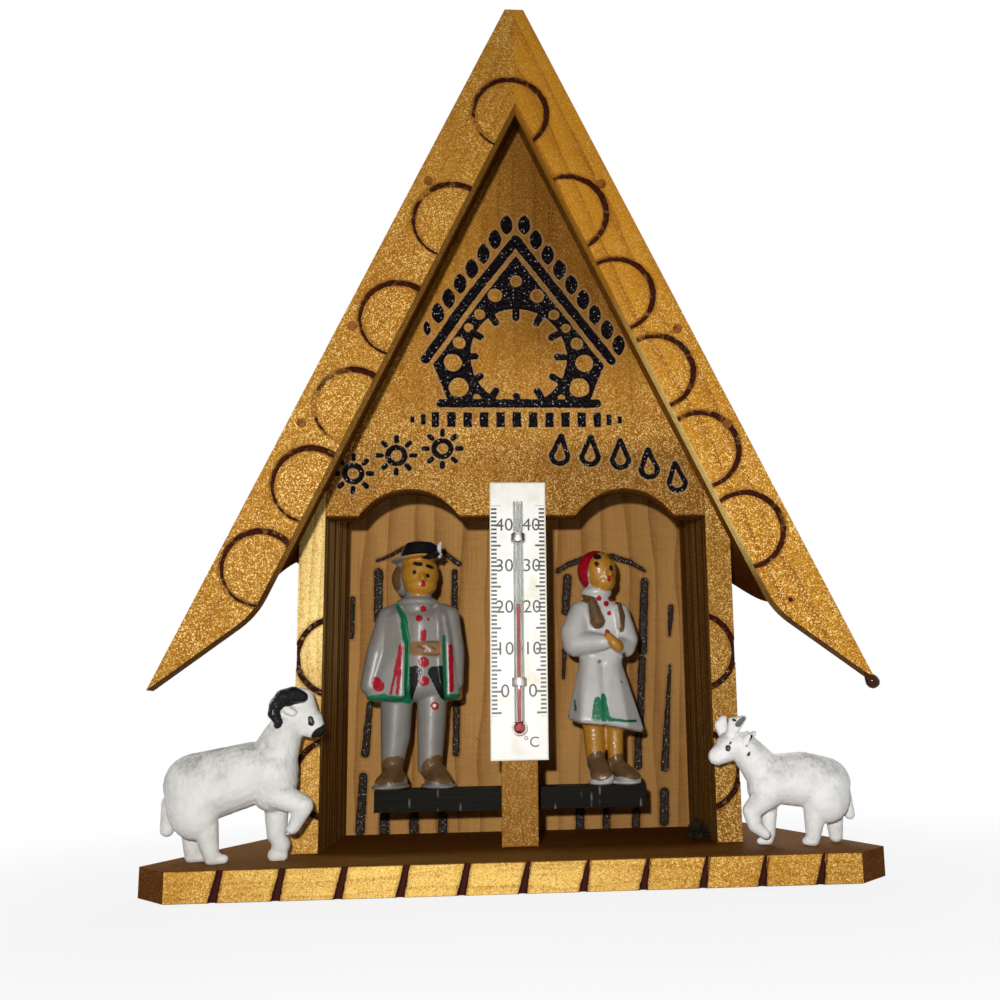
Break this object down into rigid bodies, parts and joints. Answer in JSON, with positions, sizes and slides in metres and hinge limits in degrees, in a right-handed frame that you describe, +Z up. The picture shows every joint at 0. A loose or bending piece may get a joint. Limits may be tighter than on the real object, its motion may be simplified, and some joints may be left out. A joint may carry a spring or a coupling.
{
  "type": "weather house",
  "caption": "Wooden weather house with a steep roof: a man and a woman hang on a strand of gut and turn out of their doors as the damp changes, with sheep outside and a thermometer between.",
  "frame": {"origin": "centre of the underside of the base board", "axes": "+Z up, front with the doors towards -Y, +X to the right of someone who faces the doors"},
  "size_m": [0.1504, 0.0773, 0.188],
  "materials": {
    "varnished_pine": "glossy amber varnish",
    "pale_pine": "bare pine",
    "roof_pine": "dark stain and varnish",
    "dark_beam": "black-green paint",
    "steel": "dull",
    "brass": "dull",
    "scale_card": "printed",
    "tube_glass": "clear",
    "red_spirit": "liquid",
    "sheep_plastic": "moulded, semi-gloss",
    "painted_plastic": "moulded, hand painted",
    "dried_moss": "fuzzy",
    "gut": "translucent"
  },
  "bodies": {
    "house": {"base_board": "varnished_pine", "left_wall": "varnished_pine", "right_wall": "varnished_pine", "back_wall": "pale_pine", "front_gable": "varnished_pine", "door_post": "varnished_pine", "left_roof_panel": "roof_pine", "right_roof_panel": "roof_pine", "left_bargeboard": "varnished_pine", "right_bargeboard": "varnished_pine", "ridge_block": "pale_pine", "bargeboard_brads": "steel", "base_nails": "steel", "thermometer_scale": "scale_card", "thermometer_tube": "tube_glass", "thermometer_spirit": "red_spirit", "thermometer_clips": "steel", "ram_figure": "sheep_plastic", "ewe_figure": "sheep_plastic", "moss_tuft": "dried_moss"},
    "knob": {"adjusting_knob": "varnished_pine"},
    "turnstile": {"gut_strand": "gut", "hanger_stem": "brass", "turnstile_beam": "dark_beam", "man_figure": "painted_plastic", "woman_figure": "painted_plastic"}
  },
  "joints": [
    {"name": "knob_turn", "type": "hinge", "parent": "house", "child": "knob", "pos_m": [0, 0.0043, 0.17], "axis": [0, 0, 1], "range_deg": [-8, 8]},
    {"name": "turnstile_swing", "type": "hinge", "parent": "knob", "child": "turnstile", "pos_m": [0, 0.0043, 0.05], "axis": [0, 0, 1], "range_deg": [-20, 20], "stiffness_Nm_per_rad": 0.0005}
  ]
}
